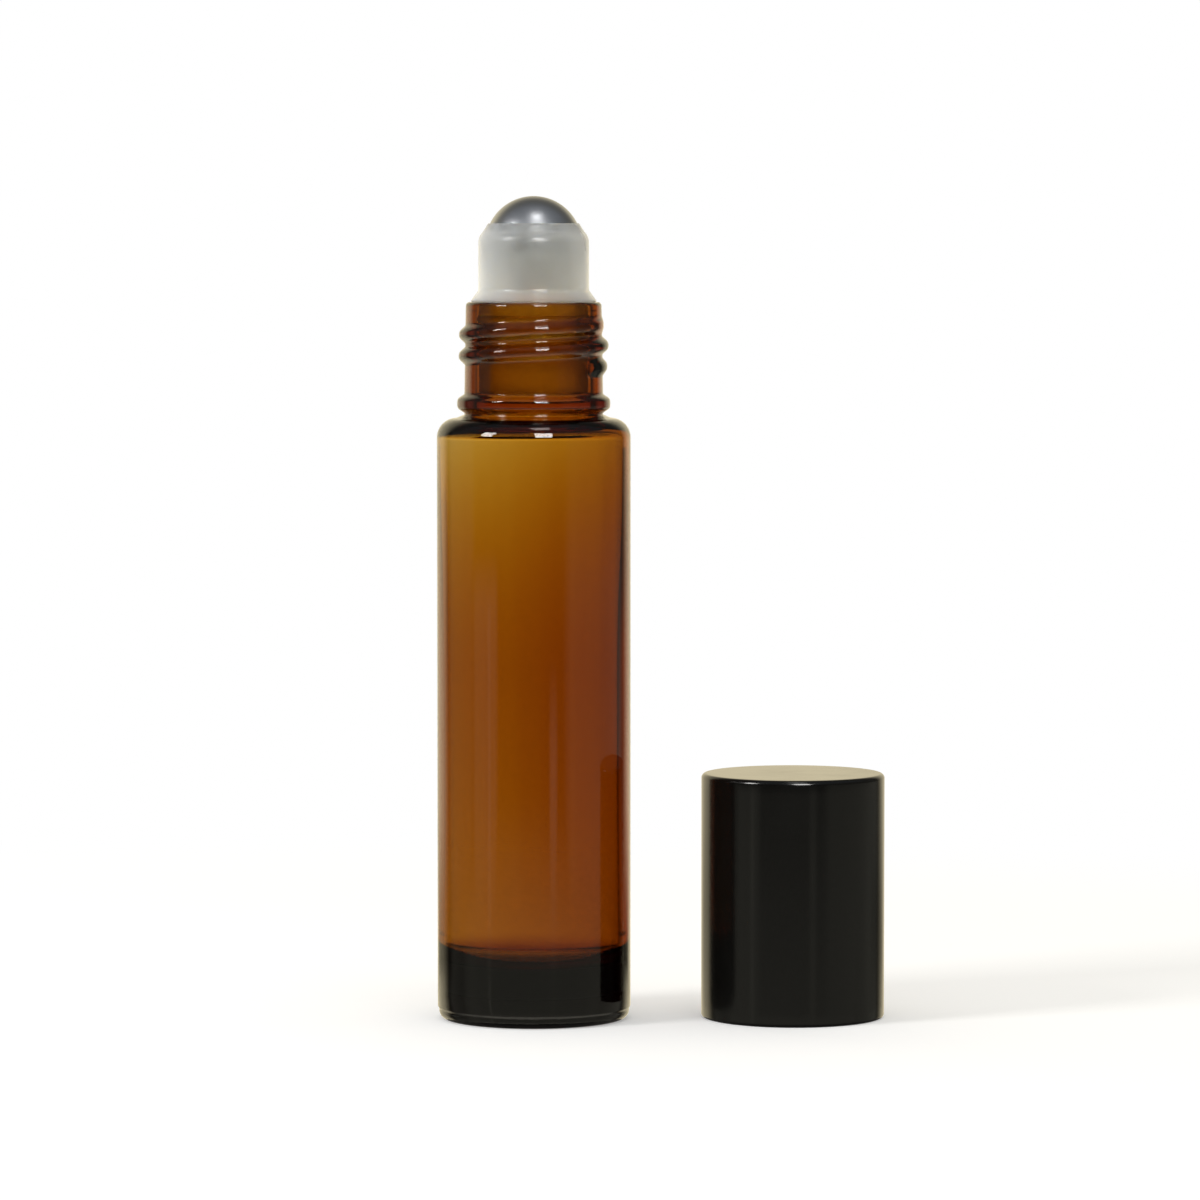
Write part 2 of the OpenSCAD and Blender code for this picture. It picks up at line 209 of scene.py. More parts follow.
class StageSettings(bpy.types.PropertyGroup):
    """The floor, the surroundings, the lamps and the camera."""
    floor_radius: length("Floor radius", "Radius of the floor", 200)
    floor_fade: length("Floor fade", "Radius where the floor starts to fade into the backdrop", 90)
    floor: colour("Floor", "Colour of the floor", (0.82, 0.82, 0.815))
    glow: share("Glow", "Light that the floor adds of its own, for the camera", 0.3)
    ambient: colour("Ambient", "Soft light that falls from the front and above", (0.54, 0.56, 0.58))
    ambient_back: colour("Back light", "Soft light that falls from the backdrop", (0.95, 0.88, 0.74))
    backdrop: colour("Backdrop", "What gloss shows of the backdrop behind the bottle", (1.0, 0.88, 0.60))
    room: colour("Room", "Tint of the room that gloss shows in front and beside", (1.0, 0.97, 0.80))
    overhead: colour("Overhead", "What gloss shows of the ceiling", (0.15, 0.16, 0.175))
    dark: colour("Dark", "What gloss shows between the backdrop and the ceiling", (0.09, 0.085, 0.075))
    above: colour("Above", "What shows through glass above the backdrop", (0.12, 0.11, 0.10))
    low: colour("Low", "What shows through glass of the floor's far side", (0.8, 0.8, 0.8))
    table: colour("Table", "What gloss shows of the floor, close by", (1.0, 0.95, 0.80))
    focal_length: FloatProperty(name="Focal length", description="Focal length in millimetres", default=182)
    camera_tilt: degrees("Camera tilt", "How far the camera looks down", 3.526)
    camera_place: FloatVectorProperty(
        name="Camera place", description="Where the camera stands", default=(0.006836, -0.626, 0.082), size=3,
        precision=5, subtype="TRANSLATION", unit="LENGTH")


SETTINGS = {
    "bottle_glass": GlassSettings, "bottle_housing": HousingSettings, "bottle_ball": BallSettings,
    "bottle_cap": CapSettings, "bottle_stage": StageSettings}


class Nodes:
    """Adds nodes to one tree. A socket that it returns can be used in plain sums."""

    def __init__(self, tree):
        self.tree = tree
        tree.nodes.clear()

    def add(self, kind, settings=None, inputs=None, output=0):
        """Adds a node: its settings first, then the values or links of its sockets."""
        node = self.tree.nodes.new(kind)
        for name, value in (settings or {}).items():
            setattr(node, name, value)
        for key, value in (inputs or {}).items():
            if isinstance(value, Value):
                self.tree.links.new(value.socket, node.inputs[key])
            else:
                node.inputs[key].default_value = value
        return Value(self, node.outputs[output]) if len(node.outputs) else node

    def mix(self, factor, first, second):
        """Mixes two colours by a factor."""
        def rgba(value):
            return value if isinstance(value, Value) else (*value, 1)
        return self.add(
            "ShaderNodeMix", {"data_type": "RGBA", "clamp_factor": True},
            {0: factor, 6: rgba(first), 7: rgba(second)}, output=2)

    def step(self, value, low, high):
        """A smooth step: 0 at low and 1 at high. low may be above high."""
        return self.add(
            "ShaderNodeMapRange", {"interpolation_type": "SMOOTHSTEP", "clamp": True},
            {0: value, 1: low, 2: high, 3: 0.0, 4: 1.0} if low < high else
            {0: value, 1: high, 2: low, 3: 1.0, 4: 0.0})

    def axes(self, vector):
        """The three parts of a vector."""
        node = self.add("ShaderNodeSeparateXYZ", None, {0: vector}).socket.node
        return [Value(self, output) for output in node.outputs]

    def joined(self, x=0.0, y=0.0, z=0.0):
        """A vector made of three parts."""
        return self.add("ShaderNodeCombineXYZ", None, {0: x, 1: y, 2: z})

    def noise(self, place, scale, detail=3.0, roughness=0.5):
        """Plain noise at that many patches a metre."""
        return self.add(
            "ShaderNodeTexNoise", None,
            {"Vector": place, "Scale": scale, "Detail": detail, "Roughness": roughness})

    def scaled(self, vector, factors):
        """A vector with each part times its own factor."""
        return self.add("ShaderNodeVectorMath", {"operation": "MULTIPLY"}, {0: vector, 1: factors})

    def skin(self, inputs):
        """A Principled shader."""
        return self.add("ShaderNodeBsdfPrincipled", None, inputs)

    def glow(self, value, strength=1.0):
        """A shader that gives light of its own."""
        return self.add("ShaderNodeEmission", None, {"Color": value, "Strength": strength})

    def between(self, factor, first, second):
        """A mix of two shaders."""
        return self.add("ShaderNodeMixShader", None, {0: factor, 1: first, 2: second})

    def bump(self, height, strength, distance):
        """A bump that feeds a shader's normal."""
        return self.add(
            "ShaderNodeBump", None, {"Height": height, "Strength": strength, "Distance": distance})


class Value:
    """A socket that can be added, multiplied and compared."""

    def __init__(self, nodes, socket):
        self.nodes = nodes
        self.socket = socket

    def maths(self, operation, *others):
        """A Math node that starts with this socket."""
        return self.nodes.add(
            "ShaderNodeMath", {"operation": operation}, dict(enumerate((self, *others))))

    def after(self, operation, first):
        """A Math node that ends with this socket."""
        return self.nodes.add("ShaderNodeMath", {"operation": operation}, {0: first, 1: self})

    def __add__(self, other):
        return self.maths("ADD", other)

    def __radd__(self, other):
        return self.after("ADD", other)

    def __sub__(self, other):
        return self.maths("SUBTRACT", other)

    def __rsub__(self, other):
        return self.after("SUBTRACT", other)

    def __mul__(self, other):
        return self.maths("MULTIPLY", other)

    def __rmul__(self, other):
        return self.after("MULTIPLY", other)

    def __truediv__(self, other):
        return self.maths("DIVIDE", other)

    def __rtruediv__(self, other):
        return self.after("DIVIDE", other)

    def __pow__(self, other):
        return self.maths("POWER", other)

    def __lt__(self, other):
        return self.maths("LESS_THAN", other)

    def __gt__(self, other):
        return self.maths("GREATER_THAN", other)

    def __abs__(self):
        return self.maths("ABSOLUTE")

    def held(self):
        """This socket, kept between 0 and 1."""
        return self.maths("MINIMUM", 1.0).maths("MAXIMUM", 0.0)


def across(x, y):
    """Distance from an upright axis."""
    return (x * x + y * y).maths("SQRT")


def shade(value, factor):
    """A colour, times a factor."""
    return tuple(c * factor for c in value)


def arc(centre, radius, start, end, steps=12):
    """Points of an arc, from one angle to another, in degrees."""
    angles = [math.radians(start + (end - start) * i / steps) for i in range(steps + 1)]
    return [(centre[0] + radius * math.cos(a), centre[1] + radius * math.sin(a)) for a in angles]


def bulge(radius, height, half, rise, steps=16):
    """A bulge on an upright wall, as points going up."""
    big = (half * half + rise * rise) / (2 * rise)
    reach = math.degrees(math.acos(1 - rise / big))
    return arc((radius + rise - big, height), big, -reach, reach, steps)


def ridge(radius, height, half, rise, steps=26):
    """A ridge round an upright wall, with soft roots, as points going up."""
    shares = [2 * i / steps - 1 for i in range(steps + 1)]
    return [(radius + rise * (0.5 + 0.5 * math.cos(math.pi * s * s)), height + half * s) for s in shares]


def dome(radius, rise, steps=10):
    """A shallow dome over the axis, as points going out from the middle."""
    big = (radius * radius + rise * rise) / (2 * rise)
    return arc((0, rise - big), big, 90, math.degrees(math.atan2(big - rise, radius)), steps)


def refined(outline, longest):
    """An outline whose stretches are cut so that none is longer than longest(height)."""
    points = [outline[0]]
    for before, after in zip(outline, outline[1:]):
        limit = longest((before[1] + after[1]) / 2)
        count = max(1, math.ceil(math.dist(before, after) / limit))
        points += [
            tuple(b + (a - b) * i / count for b, a in zip(before, after)) for i in range(1, count + 1)]
    return points


def revolved(name, outline, segments, centre=(0, 0), reshape=None):
    """A closed solid of revolution about an upright axis.

    The outline is a list of (radius, height) points, and an outline that keeps off the axis is closed.
    reshape(radius, height, angle) may give a point another radius."""
    shape = bmesh.new()
    touch = outline[0][0] < TINY
    rings = []
    for radius, height in outline:
        if radius < TINY:
            rings.append([shape.verts.new((*centre, height))])
            continue
        ring = []
        for i in range(segments):
            angle = TURN * i / segments
            r = reshape(radius, height, angle) if reshape else radius
            ring.append(shape.verts.new(
                (centre[0] + r * math.cos(angle), centre[1] + r * math.sin(angle), height)))
        rings.append(ring)
    pairs = list(zip(rings, rings[1:]))
    if not touch:
        pairs.append((rings[-1], rings[0]))
    for lower, upper in pairs:
        for i in range(segments):
            j = (i + 1) % segments
            if len(lower) == 1:
                shape.faces.new((lower[0], upper[j], upper[i]))
            elif len(upper) == 1:
                shape.faces.new((lower[i], lower[j], upper[0]))
            else:
                shape.faces.new((lower[i], lower[j], upper[j], upper[i]))
    bmesh.ops.recalc_face_normals(shape, faces=shape.faces)
    if shape.calc_volume(signed=True) < 0:
        bmesh.ops.reverse_faces(shape, faces=shape.faces)
    mesh = bpy.data.meshes.new(name)
    shape.to_mesh(mesh)
    shape.free()
    return placed(name, mesh)


def placed(name, mesh):
    """An object in the scene that holds a mesh."""
    piece = bpy.data.objects.new(name, mesh)
    bpy.context.scene.collection.objects.link(piece)
    return piece


def smooth(piece, sharp_angle=32):
    """Shades a piece smooth, but for its sharp edges."""
    piece.data.shade_smooth()
    piece.data.set_sharp_from_angle(angle=math.radians(sharp_angle))


def dressed(piece, material, body, slot, *nodes):
    """Gives a finished piece its material and its body, and hides the nodes that it stands for. Its slot is
    not used.
    """
    piece.data.materials.clear()
    piece.data.materials.append(material)
    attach(piece, body)
    if nodes:
        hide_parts(*nodes)


def geometry_tree(name, sizes):
    """A new Geometry Nodes tree with named inputs, and its Nodes and input sockets."""
    tree = bpy.data.node_groups.new(name, "GeometryNodeTree")
    tree.interface.new_socket("Geometry", in_out="OUTPUT", socket_type="NodeSocketGeometry")
    tree.interface.new_socket("Geometry", in_out="INPUT", socket_type="NodeSocketGeometry")
    for size in sizes:
        kind = "NodeSocketInt" if size.endswith("Count") else "NodeSocketFloat"
        tree.interface.new_socket(size, in_out="INPUT", socket_type=kind)
    tree.interface.new_socket("Material", in_out="INPUT", socket_type="NodeSocketMaterial")
    nodes = Nodes(tree)
    group = nodes.add("NodeGroupInput").socket.node
    return nodes, {output.name: Value(nodes, output) for output in group.outputs if output.name}


def finish_tree(nodes, inputs, geometry):
    """Ends a tree in Realize Instances and Set Material."""
    real = nodes.add("GeometryNodeRealizeInstances", None, {"Geometry": geometry})
    shown = nodes.add(
        "GeometryNodeSetMaterial", None, {"Geometry": real, "Material": inputs["Material"]})
    nodes.add("NodeGroupOutput", None, {"Geometry": shown})
    return nodes.tree


def push_points(nodes, given, x, y, z):
    """Moves each point of a tree's mesh by an offset, and ends the tree."""
    moved = nodes.add("GeometryNodeSetPosition", None, {
        "Geometry": given["Geometry"], "Offset": nodes.joined(x, y, z)})
    return finish_tree(nodes, given, moved)


def shaped(piece, tree, values):
    """Runs a Geometry Nodes tree on a piece and keeps the result as its plain mesh."""
    modifier = piece.modifiers.new("shape", "NODES")
    modifier.node_group = tree
    for item in tree.interface.items_tree:
        if item.in_out == "INPUT" and item.name in values:
            modifier[item.identifier] = values[item.name]
    result = piece.evaluated_get(bpy.context.evaluated_depsgraph_get())
    mesh = bpy.data.meshes.new_from_object(result)
    piece.modifiers.remove(modifier)
    piece.data = mesh
    if not len(mesh.polygons):
        raise RuntimeError(f"{piece.name} came out of its tree empty")


def thread_tree():
    """A screw thread: a soft ridge that winds up a wall about an upright axis."""
    nodes, given = geometry_tree("screw_thread", [
        "Centre X", "Centre Y", "First Height", "Pitch", "Ridge", "Half Height", "Start", "Turns",
        "Fade", "Drop", "Inner Radius", "Outer Radius", "Low", "High"])
    x, y, z = nodes.axes(nodes.add("GeometryNodeInputPosition"))
    x = x - given["Centre X"]
    y = y - given["Centre Y"]
    radius = across(x, y)
    around = y.maths("ARCTAN2", x) / TURN
    climb = (z - given["First Height"]) / given["Pitch"]
    winding = around + (climb - around).maths("ROUND")
    first = given["Start"] / TURN
    last = first + given["Turns"]
    fade = given["Fade"] / TURN
    run_in = ((winding - first) / fade).held()
    left = ((last - winding) / fade).held()
    strength = run_in * run_in * (3.0 - 2.0 * run_in) * left * left * (3.0 - 2.0 * left)
    sunk = (climb - winding) * given["Pitch"] + given["Drop"] * (1.0 - left) * (1.0 - left)
    away = (abs(sunk) / given["Half Height"]).maths("MINIMUM", 1.0)
    ridge = 0.5 + 0.5 * (away ** 1.4 * math.pi).maths("COSINE")
    wall = (radius > given["Inner Radius"]) * (radius < given["Outer Radius"])
    wall = wall * (z > given["Low"]) * (z < given["High"])
    out = given["Ridge"] * ridge * strength * wall / radius
    return push_points(nodes, given, x * out, y * out, 0.0)


def groove_tree():
    """Feed grooves in a round seat: even channels, cut away from the ball's centre."""
    nodes, given = geometry_tree("feed_grooves", [
        "Groove Count", "Width", "Depth", "Seat Radius", "Centre Height", "End"])
    x, y, z = nodes.axes(nodes.add("GeometryNodeInputPosition"))
    drop = z - given["Centre Height"]
    flat = across(x, y)
    reach = (flat * flat + drop * drop).maths("SQRT")
    slice_angle = TURN / given["Groove Count"]
    turned = y.maths("ARCTAN2", x) + 0.5 * slice_angle
    within = turned.maths("FLOORED_MODULO", slice_angle) - 0.5 * slice_angle
    side = abs(flat * within.maths("SINE")) / given["Width"]
    inside = nodes.step(side, 0.58, 0.42) * (reach < given["Seat Radius"] * 1.002)
    inside = inside * (drop < given["End"])
    push = inside * given["Depth"] / reach
    return push_points(nodes, given, x * push, y * push, drop * push)


def ball_tree():
    """A ball of even small faces: a cut cube, blown up to a sphere."""
    nodes, given = geometry_tree("steel_ball", ["Radius", "Centre Height", "Cut Count"])
    cube = nodes.add(
        "GeometryNodeMeshCube", None, {f"Vertices {axis}": given["Cut Count"] for axis in "XYZ"})
    parts = nodes.axes(nodes.add("GeometryNodeInputPosition"))
    even = nodes.joined(*[(part * math.pi / 2).maths("TANGENT") for part in parts])
    unit = nodes.add("ShaderNodeVectorMath", {"operation": "NORMALIZE"}, {0: even})
    sized = nodes.add("ShaderNodeVectorMath", {"operation": "SCALE"}, {0: unit, "Scale": given["Radius"]})
    lift = nodes.joined(z=given["Centre Height"])
    raised = nodes.add("ShaderNodeVectorMath", {"operation": "ADD"}, {0: sized, 1: lift})
    moved = nodes.add("GeometryNodeSetPosition", None, {"Geometry": cube, "Position": raised})
    return finish_tree(nodes, given, moved)


def rib_tree():
    """Upright ribs on a circle, between the cap's core and its shell."""
    nodes, given = geometry_tree("cap_ribs", [
        "Rib Count", "Centre X", "Centre Y", "Circle Radius", "Depth", "Width", "Height", "Middle Height"])
    circle = nodes.add("GeometryNodeMeshCircle", None, {
        "Vertices": given["Rib Count"], "Radius": given["Circle Radius"]})
    size = nodes.joined(given["Depth"], given["Width"], given["Height"])
    rib = nodes.add("GeometryNodeMeshCube", None, {"Size": size})
    x, y, _ = nodes.axes(nodes.add("GeometryNodeInputPosition"))
    turn = nodes.joined(z=y.maths("ARCTAN2", x))
    ribs = nodes.add("GeometryNodeInstanceOnPoints", None, {
        "Points": circle, "Instance": rib, "Rotation": turn})
    where = nodes.joined(given["Centre X"], given["Centre Y"], given["Middle Height"])
    moved = nodes.add("GeometryNodeTransform", None, {"Geometry": ribs, "Translation": where})
    return finish_tree(nodes, given, moved)


def new_material(name):
    """A node-based material: its Nodes, and the place of a point on the piece."""
    material = bpy.data.materials.new(name)
    material.use_nodes = True
    nodes = Nodes(material.node_tree)
    place = nodes.add("ShaderNodeTexCoord", None, None, output=3)
    return material, nodes, place


def finish_material(material, nodes, **shaders):
    """Ends a material in its output."""
    nodes.add("ShaderNodeOutputMaterial", None, shaders)
    return material


def amber_glass(settings):
    """Clear amber glass: coloured by its depth, with a faintly wavy skin."""
    material, nodes, place = new_material("amber_glass")
    drawn = nodes.noise(nodes.scaled(place, (1, 1, 0.12)), 260.0, 2.0)
    handled = nodes.noise(place, 420.0, 4.0)
    skin = nodes.skin({
        "Base Color": nodes.mix(handled, (1, 1, 1), (0.985, 0.975, 0.96)),
        "Roughness": 0.008 + 0.02 * nodes.step(handled, 0.52, 0.75),
        "Transmission Weight": 1.0,
        "IOR": 1.51,
        "Normal": nodes.bump(drawn, 0.10, 0.2 * MM)})
    depth = nodes.add("ShaderNodeVolumeAbsorption", None, {
        "Color": (*settings.tint, 1), "Density": settings.density})
    return finish_material(material, nodes, Surface=skin, Volume=depth)


def natural_plastic(settings):
    """Natural plastic as moulded: clear, with a milky haze that is least in the thin plug."""
    material, nodes, place = new_material("natural_plastic")
    flow = nodes.noise(nodes.scaled(place, (1, 1, 0.4)), 220.0, 2.0)
    _, _, z = nodes.axes(place)
    blur = 0.3 * MM
    above = nodes.step(z, GLASS_HIGH.z - blur, GLASS_HIGH.z + blur)
    skin = nodes.bump(flow, 0.05, 0.05 * MM)
    clear = nodes.skin({
        "Base Color": nodes.mix(flow, settings.body, shade(settings.body, 0.97)),
        "Roughness": 0.26 + 0.05 * flow,
        "Transmission Weight": 1.0,
        "IOR": PLASTIC_IOR,
        "Normal": skin})
    edge_on = nodes.add("ShaderNodeLayerWeight", None, {"Blend": 0.5}, output=1)
    milk = nodes.skin({
        "Base Color": (*settings.milk, 1),
        "Roughness": 0.25,
        "IOR": PLASTIC_IOR,
        "Subsurface Weight": 1.0,
        "Subsurface Radius": (1.0, 0.95, 0.85),
        "Subsurface Scale": 2.5 * MM,
        "Normal": skin})
    thick = nodes.step(z, BALL_MIDDLE, BALL_LOW.z + 1.5 * MM)
    haze = settings.haze + settings.seat_haze * thick + settings.edge_haze * edge_on
    haze = settings.plug_haze + (haze - settings.plug_haze) * above
    cloudy = haze * (0.8 + 0.4 * flow)
    both = nodes.between(cloudy, clear, milk)
    return finish_material(material, nodes, Surface=both)


def ball_steel(settings):
    """Polished stainless steel with fine running marks."""
    material, nodes, place = new_material("ball_steel")
    marks = nodes.noise(nodes.scaled(place, (0.2, 1, 1)), 9000.0, 2.0, 0.6)
    cloud = nodes.noise(place, 240.0, 2.0)
    skin = nodes.skin({
        "Base Color": nodes.mix(cloud, settings.steel, shade(settings.steel, 0.9)),
        "Metallic": 1.0,
        "Roughness": 0.29 + 0.05 * marks + 0.04 * cloud,
        "Normal": nodes.bump(marks, 0.03, 0.01 * MM)})
    return finish_material(material, nodes, Surface=skin)


def black_shell(settings):
    """Satin black plastic: a faint orange peel, and a duller skin where fingers have been."""
    material, nodes, place = new_material("black_shell")
    peel = nodes.noise(place, 1600.0, 2.0)
    handled = nodes.noise(nodes.scaled(place, (1, 1, 0.6)), 130.0, 3.0)
    skin = nodes.skin({
        "Base Color": nodes.mix(handled, settings.black, shade(settings.black, 1.25)),
        "Roughness": 0.13 + 0.04 * nodes.step(handled, 0.4, 0.7),
        "IOR": 1.5,
        "Normal": nodes.bump(peel, 0.05, 0.02 * MM)})
    return finish_material(material, nodes, Surface=skin)


def black_core(settings):
    """Plain black plastic with a spark-eroded, matt skin."""
    material, nodes, place = new_material("black_core")
    grain = nodes.noise(place, 6000.0, 3.0)
    skin = nodes.skin({
        "Base Color": nodes.mix(grain, settings.core_black, shade(settings.core_black, 1.4)),
        "Roughness": 0.42 + 0.12 * grain,
        "Normal": nodes.bump(grain, 0.25, 0.02 * MM)})
    return finish_material(material, nodes, Surface=skin)


def liner_foam(settings):
    """Fine closed foam with small open cells at its skin, painted darker in the cells as painted shade."""
    material, nodes, place = new_material("liner_foam")
    cells = nodes.add("ShaderNodeTexVoronoi", None, {"Vector": place, "Scale": 4200.0})
    pits = nodes.step(cells, 0.25, 0.6)
    skin = nodes.skin({
        # The base colour is painted darker in the open cells: painted shade in the pits.
        "Base Color": nodes.mix(pits, shade(settings.foam, 0.86), settings.foam),
        "Roughness": 0.62 + 0.2 * pits,
        "Normal": nodes.bump(cells, 0.4, 0.03 * MM)})
    return finish_material(material, nodes, Surface=skin)


def glass_outline(sizes):
    """Outline of the glass: under the foot, up the outside, and down the inside to the floor."""
    body = sizes.body_radius
    heel_outer = body - sizes.heel_step
    bearing = heel_outer - sizes.heel_radius
    shoulder = sizes.height - sizes.neck_height
    root = 0.15 * MM
    root_height = shoulder + sizes.shoulder_rise
    mouth = sizes.neck_radius - sizes.neck_draft
    lip = 0.4 * MM
    chamfer = 0.3 * MM
    soft = 0.06 * MM
    bead_half = sizes.bead_height / 2 + 0.04 * MM
    fillet = sizes.shoulder_radius
    ceiling = shoulder - sizes.shoulder_wall
    top_inside = body - sizes.wall_top
    turn = min(sizes.shoulder_turn, (top_inside - sizes.bore_radius) / 2)
    floor_turn = 2.4 * MM
    low_inside = body - sizes.wall_low
    line = sizes.heel_line
    outside = (
        dome(bearing - sizes.bearing_width, sizes.push_up)
        + arc((bearing, sizes.heel_radius), sizes.heel_radius, -90, 0)
        + [(heel_outer, line - soft), (heel_outer + soft / 2, line)]
        + [(body - soft / 2, line + sizes.heel_step), (body, line + sizes.heel_step + soft)]
        + arc((body - fillet, shoulder - fillet), fillet, 0, 90, 18)
        + arc((sizes.neck_radius + root, root_height + root), root, -90, -180, 6)
        + ridge(sizes.neck_radius, shoulder + sizes.bead_up, bead_half, sizes.bead_out)
        + arc((mouth - lip, sizes.height - lip), lip, 0, 90))
    inside = (
        arc((sizes.bore_radius + chamfer, sizes.height - chamfer), chamfer, 90, 180, 6)
        + arc((sizes.bore_radius + turn, ceiling + turn), turn, 180, 270)
        + arc((top_inside - turn, ceiling - turn), turn, 90, 0)
        + arc((low_inside - floor_turn, sizes.foot + floor_turn), floor_turn, 0, -90, 14)
        + [(0, sizes.foot)])
    return outside, inside


class BOTTLE_OT_glass(bpy.types.Operator):
    """Blow the amber bottle, with its bead, its thread and its uneven wall"""
    bl_idname = "bottle.glass"
    bl_label = "Glass Bottle"

    def execute(self, context):
        sizes = context.scene.bottle_glass
        below_ridge = 1.6 * MM
        thread_low = sizes.height - sizes.thread_drop - below_ridge
        fine = 0.09 * MM
        plain = 1.5 * MM
        outside, inside = glass_outline(sizes)
        outside = refined(outside, lambda z: fine if z > thread_low else plain)
        inside = refined(inside, lambda z: 1.2 * MM)
        body_low = sizes.foot + 2 * MM
        body_high = sizes.height - sizes.neck_height - sizes.shoulder_wall
        middle = (body_low + body_high) / 2 + 1 * MM
        outer_skin = sizes.body_radius - 0.5 * MM
        hold_depth = 2.5 * MM

        def wavy(radius, height, angle):
            """The inside of the wall: thickest halfway up, and a little uneven all round."""
            if radius > outer_skin or height < sizes.foot or height > body_high:
                return radius
            along = (height - body_low) / (body_high - body_low)
            if height > middle:
                away = (height - middle) / (body_high - middle)
                wall = sizes.wall + (sizes.wall_top - sizes.wall) * away ** 1.6
            else:
                away = (middle - height) / (middle - body_low)
                wall = sizes.wall + (sizes.wall_low - sizes.wall) * min(1, away) ** 1.3
            wall *= 1 - sizes.oval * (1 + math.cos(2 * angle)) / 2
            wall += sizes.lean * math.cos(angle)
            straight = sizes.body_radius - sizes.wall_low + (sizes.wall_low - sizes.wall_top) * max(0, along)
            hold = max(0, min(1, 1 - (straight - radius) / hold_depth))
            calm = min(1, max(0, along * 5)) * min(1, max(0, (1 - along) * 8))
            wave = sum(
                size * math.sin(count * angle + start + twist * along) for size, count, start, twist in WAVES)
            return radius + hold * (sizes.body_radius - wall - straight) + hold * calm * sizes.ripple * wave

        piece = revolved("bottle_glass", outside + inside, 224, reshape=wavy)
        material = amber_glass(sizes)
        shaped(piece, thread_tree(), {
            "First Height": sizes.height - sizes.thread_drop, "Pitch": sizes.pitch,
            "Ridge": sizes.thread_out, "Half Height": sizes.thread_half, "Start": sizes.thread_start,
            "Turns": sizes.thread_turns, "Fade": math.radians(75), "Drop": 0.15 * MM,
            "Inner Radius": sizes.bore_radius + 1 * MM, "Outer Radius": sizes.body_radius,
            "Low": thread_low, "High": sizes.height - 0.5 * MM, "Material": material})
        smooth(piece, 50)
        dressed(piece, material, "bottle", "amber_glass", "glass_bottle")
        return {"FINISHED"}


class BOTTLE_OT_housing(bpy.types.Operator):
    """Mould the translucent housing: its plug, its flange, its socket and its feed grooves"""
    bl_idname = "bottle.housing"
    bl_label = "Roller Housing"

    def execute(self, context):
        sizes = context.scene.bottle_housing
        glass = context.scene.bottle_glass
        mouth = glass.height
        centre = BALL_MIDDLE
        socket = context.scene.bottle_ball.radius + sizes.ball_gap
        outer = socket + sizes.socket_wall
        plug = glass.bore_radius - sizes.plug_gap
        plug_inner = plug - sizes.plug_wall
        plug_end = mouth - sizes.plug_height
        lip_inner = math.sqrt(socket ** 2 - sizes.lip_up ** 2)
        seat_top = centre - math.sqrt(socket ** 2 - sizes.feed_radius ** 2)
        seat_angle = math.degrees(math.asin(sizes.feed_radius / socket))
        lip_angle = math.degrees(math.asin(sizes.lip_up / socket))
        turn = sizes.shoulder_radius
        edge = 0.1 * MM
        ring = sizes.plug_gap - sizes.ring_gap
        flange_top = mouth + sizes.flange_edge
        rings = [
            point for depth in (sizes.ring_drop + sizes.ring_step, sizes.ring_drop)
            for point in bulge(plug, mouth - depth, sizes.ring_height / 2, ring, 10)]
        outside = (
            [(plug_inner + edge, plug_end), (plug - sizes.plug_chamfer, plug_end)]
            + [(plug, plug_end + sizes.plug_chamfer)] + rings
            + [(plug, mouth - edge), (plug + edge, mouth), (sizes.flange_radius - edge, mouth)]
            + arc((sizes.flange_radius - edge, mouth + edge), edge, -90, 0, 4)
            + arc((sizes.flange_radius - edge, flange_top - edge), edge, 0, 60, 4)
            + [(outer + 0.02 * MM, flange_top + sizes.flange_cone - 0.25 * MM)]
            + [(outer, flange_top + sizes.flange_cone)]
            + arc((outer - turn, centre + sizes.turn_up), turn, 0, 45, 12)
            + arc((lip_inner + sizes.lip_width / 2, centre + sizes.lip_up - sizes.lip_width / 2),
                  sizes.lip_width / 2, 50, 180, 6))
        inside = (
            arc((0, centre), socket, lip_angle - 1, 0, 10)
            + arc((0, centre), socket, 0, seat_angle - 90, 24)
            + [(sizes.feed_radius, seat_top - edge), (sizes.feed_radius, seat_top - sizes.seat + edge)]
            + [(sizes.feed_radius + edge, seat_top - sizes.seat), (plug_inner - edge, seat_top - sizes.seat)]
            + [(plug_inner, seat_top - sizes.seat - edge), (plug_inner, plug_end + edge)])
        outline = refined(outside + inside, lambda z: 0.5 * MM)
        piece = revolved("roller_housing_shell", outline, 192)
        material = natural_plastic(sizes)
        shaped(piece, groove_tree(), {
            "Groove Count": sizes.groove_count, "Width": sizes.groove_width, "Depth": sizes.groove_depth,
            "Seat Radius": socket, "Centre Height": centre, "End": -sizes.groove_end, "Material": material})
        smooth(piece, 40)
        dressed(piece, material, "roller_insert", "natural_plastic", "roller_housing")
        return {"FINISHED"}


class BOTTLE_OT_ball(bpy.types.Operator):
    """Grind the steel ball"""
    bl_idname = "bottle.ball"
    bl_label = "Roller Ball"

    def execute(self, context):
        sizes = context.scene.bottle_ball
        material = ball_steel(sizes)
        piece = placed("steel_ball", bpy.data.meshes.new("steel_ball"))
        shaped(piece, ball_tree(), {
            "Radius": sizes.radius, "Centre Height": BALL_MIDDLE, "Cut Count": 41, "Material": material})
        closed = bmesh.new()
        closed.from_mesh(piece.data)
        bmesh.ops.remove_doubles(closed, verts=closed.verts, dist=TINY)
        bmesh.ops.recalc_face_normals(closed, faces=closed.faces)
        closed.to_mesh(piece.data)
        closed.free()
        smooth(piece, 180)
        dressed(piece, material, "ball", "ball_steel", "roller_ball")
        return {"FINISHED"}


